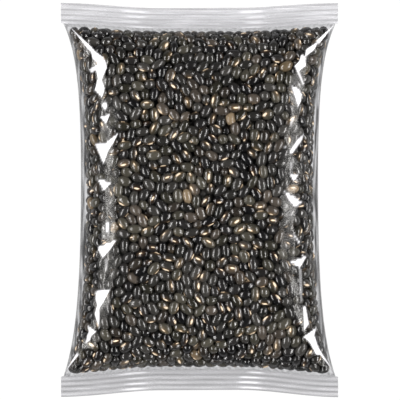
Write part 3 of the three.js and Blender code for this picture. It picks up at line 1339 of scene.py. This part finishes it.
class Depths:
    """How deep each place lies inside the film, read from a grid."""

    def __init__(self, film: Surface, spacing: float) -> None:
        """Measures the film's distance at each point of a grid.

        Args:
            film: The film as a closed surface.
            spacing: The grid's spacing.
        """
        self.tree = BVHTree.FromPolygons(film.corners.tolist(), film.faces.tolist())
        self.spacing = spacing
        self.low = film.corners.min(axis=0) - spacing
        counts = np.ceil((film.corners.max(axis=0) + spacing - self.low) / spacing).astype(int) + 1
        axes = [self.low[i] + spacing * np.arange(counts[i]) for i in range(3)]
        points = np.stack(np.meshgrid(*axes, indexing="ij"), axis=-1).reshape(-1, 3)
        depth = np.array([self.exact(point)[0] for point in points])
        self.depth = depth.reshape(counts)
        inward = np.stack(np.gradient(self.depth, spacing), axis=-1)
        self.fields = np.concatenate([self.depth[..., None], inward], axis=-1)

    def exact(self, point: Floats) -> tuple[float, Floats]:
        """The depth at one point, measured from the film itself.

        Args:
            point: The point.

        Returns:
            The depth, below 0 outside the film, and the way in from the film there.
        """
        place, normal, _, distance = self.tree.find_nearest(point)
        outside = (Vector(point) - place).dot(normal) > 0.0
        return (-distance if outside else distance), -np.array(normal)

    def at(self, points: Floats) -> tuple[Floats, Floats]:
        """The depth at points, read from the grid.

        Args:
            points: The points.

        Returns:
            The depth at each point, and the direction in which it grows.
        """
        place = (points - self.low) / self.spacing
        most = np.array(self.depth.shape) - 2
        cell = np.clip(np.floor(place).astype(int), 0, most)
        part = np.clip(place - cell, 0.0, 1.0)
        found = np.zeros((*points.shape[:-1], 4))
        for corner in np.ndindex(2, 2, 2):
            share = np.prod(np.where(corner, part, 1.0 - part), axis=-1)
            at = cell + np.array(corner)
            found += share[..., None] * self.fields[at[..., 0], at[..., 1], at[..., 2]]
        return found[..., 0], unit(found[..., 1:])


@dataclass
class BeanShape:
    """The oblong shape of one bean about its own axes, for a length, width and thickness of 2.

    Attributes:
        rings: Rings of corners between its two ends.
        sides: Corners in each ring.
        bluntness: How blunt its ends are, as an exponent of its outline.
        roundness: How round its outline is, as an exponent.
        flat_back: How far it is flattened at its scar, as a share of its half width.
        pad_sides: Corners in each ring of its scar.
        pad_rings: The reach of each of those rings, and its rise as a share of the scar's height.
        pad_middle: The rise of the scar's middle, as a share of its height.
    """

    rings: int
    sides: int
    bluntness: float = 2.25
    roundness: float = 2.05
    flat_back: float = 0.06
    pad_sides: int = 12
    pad_rings: tuple[tuple[float, float], ...] = ((1.0, -0.5), (0.78, 0.9), (0.35, 0.45))
    pad_middle: float = 0.3

    def girth(self, place: Floats) -> Floats:
        """The bean's radius at a place from -1 to 1 along it."""
        return (1.0 - np.abs(place) ** self.bluntness) ** (1.0 / self.roundness)

    def point(self, place: Floats, turn: Floats) -> Floats:
        """Points of the bean's skin.

        Args:
            place: Places from -1 to 1 along it.
            turn: Turns round it from its scar, in radians.

        Returns:
            The points, with x, y and z along the last axis.
        """
        radius = self.girth(place)
        toward_scar = np.cos(turn)
        hollow = 1.0 - self.flat_back * np.clip(toward_scar, 0.0, 1.0) ** 2 * (1.0 - place**2)
        skin = np.broadcast_arrays(place, radius * toward_scar * hollow, radius * np.sin(turn))
        return np.stack(skin, axis=-1)

    def surface(self) -> Surface:
        """The bean as a closed mesh.

        Returns:
            The mesh.
        """
        places = np.sin(0.5 * math.pi * np.linspace(-1.0, 1.0, self.rings + 2)[1:-1])
        turns = np.arange(self.sides) * 2.0 * math.pi / self.sides
        ring = self.point(places[:, None], turns[None, :]).reshape(-1, 3)
        corners = np.concatenate([ring, [[-1.0, 0.0, 0.0], [1.0, 0.0, 0.0]]])
        corner = np.arange(self.rings * self.sides).reshape(self.rings, self.sides)
        ahead = np.roll(corner, -1, axis=1)
        lower = np.stack([corner[:-1], ahead[:-1], ahead[1:]], axis=-1).reshape(-1, 3)
        upper = np.stack([corner[:-1], ahead[1:], corner[1:]], axis=-1).reshape(-1, 3)
        first, last = len(ring), len(ring) + 1
        start = np.stack([corner[0], np.full(self.sides, first), ahead[0]], axis=-1)
        close = np.stack([corner[-1], ahead[-1], np.full(self.sides, last)], axis=-1)
        return Surface(corners, np.concatenate([lower, upper, start, close]))

    def scar(self, length: float, width: float, height: float) -> Surface:
        """The scar as a low oval pad on the bean's skin, its rim sunk just under it.

        Args:
            length: Its half length, as a share of the bean's half length.
            width: Its half width, as a turn round the bean.
            height: Its height, as a share of the bean's half width.

        Returns:
            The pad, with the nearness of each corner to its rim.
        """
        sides = self.pad_sides
        turns = np.arange(sides) * 2.0 * math.pi / sides
        corners, rim = [], []
        for reach, rise in self.pad_rings:
            at = self.point(length * reach * np.cos(turns), width * reach * np.sin(turns))
            corners.append(at * np.array([1.0, 1.0 + height * rise, 1.0 + height * rise]))
            rim.append(np.full(sides, reach))
        raised = np.array([1.0, 1.0 + self.pad_middle * height, 1.0])
        middle = self.point(np.zeros(1), np.zeros(1)) * raised
        corner = np.arange(len(self.pad_rings) * sides).reshape(-1, sides)
        ahead = np.roll(corner, -1, axis=1)
        outer = np.stack([corner[:-1], ahead[1:], ahead[:-1]], axis=-1).reshape(-1, 3)
        inner = np.stack([corner[:-1], corner[1:], ahead[1:]], axis=-1).reshape(-1, 3)
        centre = np.stack([corner[-1], np.full(sides, corner.size), ahead[-1]], axis=-1)
        values = {"rim": np.concatenate([*rim, [0.0]])}
        faces = np.concatenate([outer, inner, centre])
        return Surface(np.concatenate([*corners, middle]), faces, values)


@dataclass
class Packing:
    """Beans settled against the film, as centres, axes and sizes.

    Each bean is three balls in a row while it settles. It is pushed towards the film, and balls
    that overlap another bean or the film are moved apart, step by step.

    Attributes:
        depths: How deep each place lies inside the film.
        count: How many beans there are.
        length: The length of a bean of usual size.
        width: The width of a bean of usual size.
        unevenness: How much beans usually differ in size, as a share of it.
        most_uneven: How many times as much they may differ at most.
        end_ball: The size of a bean's end balls, as a share of its middle one.
        shell: How deep under the film beans may start.
        start_room: How deep they have to start, as a share of their width.
        laid: How flat along the film they start, from 0 to 1.
        clearance: The gap that they keep to the film.
        steps: How many steps they take to settle.
        push: How far the first step pushes them towards the film.
        push_share: The share of the steps over which that push fades out.
        lean: How much flatter each step lays a bean that is next to the film.
        lean_reach: How deep that starts to fade in, in widths of a bean.
        search_steps: How many steps pass between two searches for neighbours.
        search_reach: How far apart neighbours may be, in lengths of a bean.
        contact_gain: How much of an overlap of balls one step clears.
        move_gain: How far a bean follows its balls.
        turn_gain: How far it turns with them.
        seed: The seed of all draws.
        centres: The middle of each bean.
        axes: The direction of each bean's length.
        sizes: Half the length and half the width of each bean.
        radii: The radius of each bean's three balls.
        offsets: How far along its axis each of them lies.
    """

    depths: Depths
    count: int = 3050
    length: float = 5.2 * MM
    width: float = 3.75 * MM
    unevenness: float = 0.07
    most_uneven: float = 2.0
    end_ball: float = 0.92
    shell: float = 8.0 * MM
    start_room: float = 0.4
    laid: float = 0.85
    clearance: float = 0.12 * MM
    steps: int = 260
    push: float = 0.10 * MM
    push_share: float = 0.8
    lean: float = 0.08
    lean_reach: float = 1.5
    search_steps: int = 8
    search_reach: float = 1.12
    contact_gain: float = 1.3
    move_gain: float = 0.7
    turn_gain: float = 0.5
    seed: int = 11
    centres: Floats = field(init=False)
    axes: Floats = field(init=False)
    sizes: Floats = field(init=False)
    radii: Floats = field(init=False)
    offsets: Floats = field(init=False)

    def __post_init__(self) -> None:
        """Draws the beans and lets them settle."""
        rng = np.random.default_rng(self.seed)
        drawn = np.clip(rng.normal(size=(self.count, 2)), -self.most_uneven, self.most_uneven)
        spread = drawn * self.unevenness + 1.0
        self.sizes = 0.5 * spread * np.array([self.length, self.width])
        self.centres = self.scattered(rng)
        _, inward = self.depths.at(self.centres)
        drawn = unit(rng.normal(size=(self.count, 3)))
        tilt = np.sum(drawn * inward, axis=-1, keepdims=True)
        self.axes = unit(drawn - self.laid * tilt * inward)
        self.radii = self.sizes[:, 1:2] * np.array([self.end_ball, 1.0, self.end_ball])
        self.offsets = (self.sizes[:, :1] - self.radii) * np.array([-1.0, 0.0, 1.0])
        for step in range(self.steps):
            if step % self.search_steps == 0:
                first, second = self.neighbours()
            self.lean_outwards(1.0 - step / (self.push_share * self.steps))
            self.move(self.contacts(first, second))
            self.move(self.held_in())
        self.tuck_in()

    def scattered(self, rng: np.random.Generator) -> Floats:
        """Random places for the beans inside the shell under the film.

        Args:
            rng: The draw of the places.

        Returns:
            A place for each bean.
        """
        low = self.depths.low
        high = low + self.depths.spacing * (np.array(self.depths.depth.shape) - 1)
        kept = np.empty((0, 3))
        while len(kept) < self.count:
            drawn = rng.uniform(low, high, size=(4 * self.count, 3))
            depth, _ = self.depths.at(drawn)
            inside = (depth > self.start_room * self.width) & (depth < self.shell)
            kept = np.concatenate([kept, drawn[inside]])
        return kept[: self.count]

    def balls(self) -> Floats:
        """The centres of each bean's three balls."""
        return self.centres[:, None, :] + self.offsets[..., None] * self.axes[:, None, :]

    def neighbours(self) -> tuple[Ints, Ints]:
        """Pairs of beans that are near enough to touch soon.

        Returns:
            The first and the second bean of each pair, by number.
        """
        tree = KDTree(self.count)
        for i, centre in enumerate(self.centres):
            tree.insert(centre, i)
        tree.balance()
        reach = self.search_reach * self.length
        pairs = np.array([
            (i, j)
            for i, centre in enumerate(self.centres)
            for _, j, _ in tree.find_range(centre, reach)
            if j > i
        ])
        return pairs[:, 0], pairs[:, 1]

    def lean_outwards(self, strength: float) -> None:
        """Pushes the beans towards the film, and lays those next to it flat against it.

        Args:
            strength: The strength of the push, from 0 to 1, where less than 0 is none.
        """
        depth, inward = self.depths.at(self.centres)
        self.centres -= self.push * max(0.0, strength) * inward
        near = smooth_step(self.lean_reach - depth / self.width)[:, None]
        tilt = np.sum(self.axes * inward, axis=-1, keepdims=True)
        self.axes = unit(self.axes - self.lean * near * tilt * inward)

    def contacts(self, first: Ints, second: Ints) -> Floats:
        """How far each ball has to move to clear the balls of other beans.

        Args:
            first: The first bean of each pair of neighbours.
            second: The second bean of each pair.

        Returns:
            The shift of each bean's three balls.
        """
        balls, total = self.balls(), 3 * self.count
        shift = np.zeros((total, 3))
        hits = np.zeros(total)
        for a, b in np.ndindex(3, 3):
            apart = balls[first, a] - balls[second, b]
            distance = np.linalg.norm(apart, axis=-1)
            overlap = self.radii[first, a] + self.radii[second, b] - distance
            hit = overlap > 0.0
            way = apart[hit] / np.maximum(distance[hit], TINY)[:, None]
            half = 0.5 * overlap[hit, None] * way
            for index, sign in ((3 * first[hit] + a, 1.0), (3 * second[hit] + b, -1.0)):
                for axis in range(3):
                    shift[:, axis] += sign * np.bincount(index, half[:, axis], total)
                hits += np.bincount(index, minlength=total)
        return (self.contact_gain * shift / np.maximum(hits, 1.0)[:, None]).reshape(-1, 3, 3)

    def held_in(self) -> Floats:
        """How far each ball has to move to stay inside the film.

        Returns:
            The shift of each bean's three balls.
        """
        depth, inward = self.depths.at(self.balls())
        out = np.maximum(self.radii + self.clearance - depth, 0.0)
        return out[..., None] * inward

    def tuck_in(self) -> None:
        """Moves the beans that still reach out of the film straight in."""
        for i, balls in enumerate(self.balls()):
            for ball, radius in zip(balls, self.radii[i]):
                depth, inward = self.depths.exact(ball)
                self.centres[i] += max(0.0, radius + 0.5 * self.clearance - depth) * inward

    def move(self, shift: Floats) -> None:
        """Moves and turns the beans as their balls ask.

        Args:
            shift: The shift of each bean's three balls.
        """
        moved = np.maximum(np.sum(np.any(shift != 0.0, axis=-1), axis=-1), 1)
        self.centres += self.move_gain * shift.sum(axis=1) / moved[:, None]
        spread = np.sum(self.offsets**2, axis=-1)[:, None]
        turn = np.sum(self.offsets[..., None] * shift, axis=1) / spread
        self.axes = unit(self.axes + self.turn_gain * turn)


@dataclass(frozen=True)
class Bed:
    """The settled beans.

    Attributes:
        centres: The middle of each bean.
        frames: A turning matrix for each bean.
        scale: Half the length, width and thickness of each bean.
        kinds: The number of each bean's kind.
        tones: How light each bean is for its kind, from 0 to 1.
        front: Which beans lie next to the film.
        back: Which beans lie just behind those.
        halo_length: The reach of the halo round a scar, in half lengths of a bean.
        halo_width: Its reach to each side, in half thicknesses of a bean.
        halo_strength: How strong it is in its middle, from 0 to 1.
    """

    centres: Floats
    frames: Floats
    scale: Floats
    kinds: Ints
    tones: Floats
    front: Flags
    back: Flags
    halo_length: float = 0.6
    halo_width: float = 0.36
    halo_strength: float = 0.7

    def copies(self, shape: Surface, chosen: Flags) -> Surface:
        """Copies of a shape at some of the beans.

        Args:
            shape: The shape, about a bean's own axes.
            chosen: Which beans get one.

        Returns:
            The copies as one mesh, with each bean's tone and the halo round its scar.
        """
        local = shape.corners[None] * self.scale[chosen][:, None, :]
        turned = np.einsum("nij,nkj->nki", self.frames[chosen], local)
        corners = turned + self.centres[chosen][:, None, :]
        count, each = corners.shape[:2]
        faces = shape.faces[None] + each * np.arange(count)[:, None, None]
        along, side, thick = shape.corners.T
        off = (along / self.halo_length) ** 2 + (thick / self.halo_width) ** 2
        halo = self.halo_strength * np.exp(-off) * (side > 0.0)
        values = {
            "tone": np.repeat(self.tones[chosen], each),
            "halo": np.tile(halo, count),
            **{label: np.tile(value, count) for label, value in shape.values.items()},
        }
        return Surface(corners.reshape(-1, 3), faces.reshape(-1, faces.shape[-1]), values)


@dataclass
class Filling:
    """The beans against the film, a piece for each kind, with their scars over a core painted near
    black as shade.

    Attributes:
        form: The bag's form.
        seed: The seed of the beans' rolls, kinds, tones and scars.
        thickness_share: The thickness of a bean, as a share of its width.
        lip_width: How wide a lip the beans leave empty at each side.
        seal_room: How far from each seal they stay.
        grid_spacing: The spacing of the grid from which depths are read.
        held: How deep the middle of a bean in front has to lie, in half widths of it.
        scar_sizes: The half length, half turn and height of each size of scar.
        scar_shares: Each size's share of the scars.
        front_depth: How deep the beans in front reach.
        back_depth: How deep the beans behind them reach.
        core_depth: How deep the core starts.
        core_end_depth: How much deeper it starts at its ends.
        core_steps: Its steps across and along.
        front_shape: The mesh of a bean in front.
        back_shape: The mesh of a bean behind.
    """

    form: BagForm
    seed: int = 23
    thickness_share: float = 0.94
    lip_width: float = 1.7 * MM
    seal_room: float = 0.6 * MM
    grid_spacing: float = 1.2 * MM
    held: float = 0.8
    scar_sizes: tuple[tuple[float, float, float], ...] = (
        (0.28, 0.13, 0.04),
        (0.37, 0.19, 0.05),
        (0.44, 0.26, 0.05),
    )
    scar_shares: tuple[float, ...] = (0.45, 0.38, 0.17)
    front_depth: float = 3.6 * MM
    back_depth: float = 9.0 * MM
    core_depth: float = 7.0 * MM
    core_end_depth: float = 3.0 * MM
    core_steps: int = 40
    front_shape: BeanShape = field(default_factory=lambda: BeanShape(rings=8, sides=14))
    back_shape: BeanShape = field(default_factory=lambda: BeanShape(rings=5, sides=8))

    def make(self) -> None:
        """Packs the beans and makes their pieces."""
        rng = np.random.default_rng(self.seed)
        bed = self.settled(rng)
        LOG.info("beans next to the film: %d, behind them: %d", bed.front.sum(), bed.back.sum())
        layers = ((self.front_shape.surface(), bed.front), (self.back_shape.surface(), bed.back))
        for number, kind in enumerate(BeanKind):
            parts = [bed.copies(shape, layer & (bed.kinds == number)) for shape, layer in layers]
            beans = joined(parts).make(kind.finish.name, kind.finish.material())
            stand_in(beans)
        self.make_scars(bed, rng)
        self.make_core()

    def settled(self, rng: np.random.Generator) -> Bed:
        """Packs the beans under the film.

        Args:
            rng: The draw of their rolls, kinds and tones.

        Returns:
            The settled beans.
        """
        room = self.form.length - 2.0 * self.seal_room
        skin = Film(replace(self.form, lip_width=self.lip_width, length=room), seal_rows=0)
        depths = Depths(skin.surface, self.grid_spacing)
        packing = Packing(depths)
        depth, _ = depths.at(packing.centres)
        half_width = packing.sizes[:, 1]
        thickness = self.thickness_share * half_width[:, None]
        return Bed(
            centres=packing.centres,
            frames=self.rolled(packing.axes, rng),
            scale=np.concatenate([packing.sizes, thickness], axis=1),
            kinds=rng.choice(len(BeanKind), size=packing.count, p=[kind.share for kind in BeanKind]),
            tones=rng.uniform(0.0, 1.0, size=packing.count),
            front=(depth > self.held * half_width) & (depth < self.front_depth),
            back=(depth >= self.front_depth) & (depth < self.back_depth),
        )

    def rolled(self, axes: Floats, rng: np.random.Generator) -> Floats:
        """Rolls each bean at random about its own length.

        Args:
            axes: The direction of each bean's length.
            rng: The draw of the rolls.

        Returns:
            A turning matrix for each bean.
        """
        drawn = rng.normal(size=axes.shape)
        across = unit(drawn - np.sum(drawn * axes, axis=-1, keepdims=True) * axes)
        return np.stack([axes, across, np.cross(axes, across)], axis=-1)

    def make_scars(self, bed: Bed, rng: np.random.Generator) -> None:
        """Makes the scars of the beans in front.

        Args:
            bed: The settled beans.
            rng: The draw of the scars' sizes.
        """
        pads = [self.front_shape.scar(*size) for size in self.scar_sizes]
        drawn = rng.choice(len(pads), size=len(bed.kinds), p=self.scar_shares)
        parts = [bed.copies(pad, bed.front & (drawn == number)) for number, pad in enumerate(pads)]
        scars = joined(parts).make("bean_scars", ScarFinish().material())
        stand_in(scars)

    def make_core(self) -> None:
        """Makes the core, a smaller bag form under the beans, painted near black as shade."""
        form, steps = self.form, self.core_steps
        shell = Film(form, Facets(share=0.0), columns=steps, body_rows=steps, seal_rows=1,
                     dimple_depth=0.0, gather_depth=0.0)
        half = np.array([0.5 * form.waist, 0.5 * form.length - form.seal_band, 0.5 * form.thickness])
        middle = np.array([0.0, 0.0, 0.5 * form.thickness])
        shrink = 1.0 - (self.core_depth + np.array([0.0, self.core_end_depth, 0.0])) / half
        rows = shell.surface.corners.reshape(-1, 2 * (steps + 1), 3)[1:-1]
        corners = middle + (rows.reshape(-1, 3) - middle) * shrink
        faces = shell.faces(len(rows), rows.shape[1])
        core = Surface(corners, faces).make("bean_shade_core", CoreShadeFinish().material())
        stand_in(core)


# The studio


@dataclass(frozen=True)
class StripLight:
    """A long light that stands on each side of the bag.

    Attributes:
        name: Its name.
        height: How high its face is.
        power: Its power in watts.
    """

    name: str
    height: float
    power: float


@dataclass(frozen=True)
class Studio:
    """A pale floor, soft walls round it, strip lights on both sides and a camera straight above.

    Attributes:
        form: The bag's form.
        picture_px: The width and height of the picture, in its pixels.
        bag_px: The length of the bag in the picture.
        centre_px: The place of the bag's middle in the picture, from its upper left corner.
        camera_height: How high the camera is over the bag's seals.
        sensor: The width of its sensor in millimetres.
        clip: The nearest and the farthest that it sees.
        strips: The lights on each side.
        strip_angle: How far from straight above they stand.
        strip_distance: How far from the floor's middle they stand.
        strip_length: How long they are.
        strip_colour: The colour of their light.
        floor_half: Half the width of the floor.
        floor_drop: How far under the bag the floor lies.
        floor_paper: The colour of the floor's paper, most of whose light is a glow.
        floor_glow: How strongly it glows.
        floor_stops: The colour of its glow, by the distance from its middle.
        floor_roughness: How rough it is.
        floor_shine: How much it shines.
        wall_stops: The colour of the walls, from level with the bag to straight above it.
    """

    form: BagForm
    picture_px: float = 400.0
    bag_px: float = 394.0
    centre_px: tuple[float, float] = (199.5, 200.0)
    camera_height: float = 0.6
    sensor: float = 36.0
    clip: tuple[float, float] = (0.01, 20.0)
    strips: tuple[StripLight, ...] = (
        StripLight("strip", height=0.1, power=36.0),
        StripLight("surround", height=0.5, power=13.5),
    )
    strip_angle: float = math.radians(50.0)
    strip_distance: float = 1.3
    strip_length: float = 1.9
    strip_colour: Colour = (1.0, 0.98, 0.95)
    floor_half: float = 3.0
    floor_drop: float = 0.1 * MM
    floor_paper: Colour = (0.02, 0.02, 0.02)
    floor_glow: float = 0.98
    floor_stops: tuple[tuple[float, Colour], ...] = (
        (0.1, (1.0, 1.0, 1.0)),
        (0.35, (0.12, 0.12, 0.12)),
    )
    floor_roughness: float = 0.9
    floor_shine: float = 0.1
    wall_stops: tuple[tuple[float, Colour], ...] = (
        (0.0, (0.12, 0.12, 0.12)),
        (0.3, (0.03, 0.03, 0.03)),
        (1.0, (0.012, 0.012, 0.012)),
    )

    def make(self) -> None:
        """Makes the floor, the lights, the world and the camera."""
        self.make_floor()
        for side in (-1.0, 1.0):
            for strip in self.strips:
                self.make_strip(strip, side)
        self.make_world()
        self.make_camera()

    def make_floor(self) -> None:
        """Makes the floor, just under the bag."""
        ways = np.array([[-1.0, -1.0, 0.0], [1.0, -1.0, 0.0], [1.0, 1.0, 0.0], [-1.0, 1.0, 0.0]])
        corners = self.floor_half * ways - np.array([0.0, 0.0, self.floor_drop])
        made, shader = new_material("floor")
        place = shader.node("ShaderNodeTexCoord").outputs["Object"]
        away = shader.signal("ShaderNodeVectorMath", "Value", {"operation": "LENGTH"}, {0: place})
        paper = shader.principled({
            "Base Color": (*self.floor_paper, 1.0),
            "Roughness": self.floor_roughness,
            "Specular IOR Level": self.floor_shine,
            "Emission Color": shader.ramp(away, self.floor_stops),
            "Emission Strength": self.floor_glow,
        })
        shader.finish(paper)
        Surface(corners, np.array([[0, 1, 2, 3]])).make("floor", made)

    def make_strip(self, strip: StripLight, side: float) -> None:
        """Makes a long light beside the bag, aimed at it.

        Args:
            strip: The light.
            side: The side that it stands on, -1 for the left and 1 for the right.
        """
        light = bpy.data.lights.new(strip.name, "AREA")
        light.shape = "RECTANGLE"
        light.size = strip.height
        light.size_y = self.strip_length
        light.energy = strip.power
        light.color = self.strip_colour
        stand = bpy.data.objects.new(strip.name, light)
        stand.location = (
            side * self.strip_distance * math.sin(self.strip_angle),
            0.0,
            self.strip_distance * math.cos(self.strip_angle),
        )
        stand.rotation_euler = (0.0, side * self.strip_angle, 0.0)
        bpy.context.scene.collection.objects.link(stand)

    def make_world(self) -> None:
        """Makes the studio's walls pale near the floor and dark overhead."""
        world = bpy.data.worlds.new("studio")
        world.use_nodes = True
        bpy.context.scene.world = world
        shader = Shader(world.node_tree)
        way = shader.node("ShaderNodeTexCoord").outputs["Generated"]
        up = shader.signal("ShaderNodeSeparateXYZ", "Z", None, {"Vector": way})
        sky = shader.node("ShaderNodeBackground", None, {"Color": shader.ramp(up, self.wall_stops)})
        shader.node("ShaderNodeOutputWorld", None, {"Surface": sky.outputs[0]})

    def make_camera(self) -> None:
        """Makes the camera, looking straight down with the bag's top end up."""
        metres_per_px = self.form.length / self.bag_px
        camera = bpy.data.cameras.new("camera")
        camera.sensor_width = self.sensor
        camera.lens = self.sensor * self.camera_height / (metres_per_px * self.picture_px)
        camera.clip_start, camera.clip_end = self.clip
        eye = bpy.data.objects.new("camera", camera)
        middle_px = 0.5 * self.picture_px
        eye.location = (
            (middle_px - self.centre_px[0]) * metres_per_px,
            (self.centre_px[1] - middle_px) * metres_per_px,
            self.form.seal_height + self.camera_height,
        )
        bpy.context.scene.collection.objects.link(eye)
        bpy.context.scene.camera = eye


def main() -> None:
    """Builds the bag and its studio."""
    logging.basicConfig(level=logging.INFO, format="%(message)s")
    scene = bpy.context.scene
    scene.view_settings.view_transform = "Standard"
    scene.view_settings.look = "None"
    form = BagForm.from_frame()
    Studio(form).make()
    Film(form).make()
    Filling(form).make()


if __name__ == "__main__":
    main()
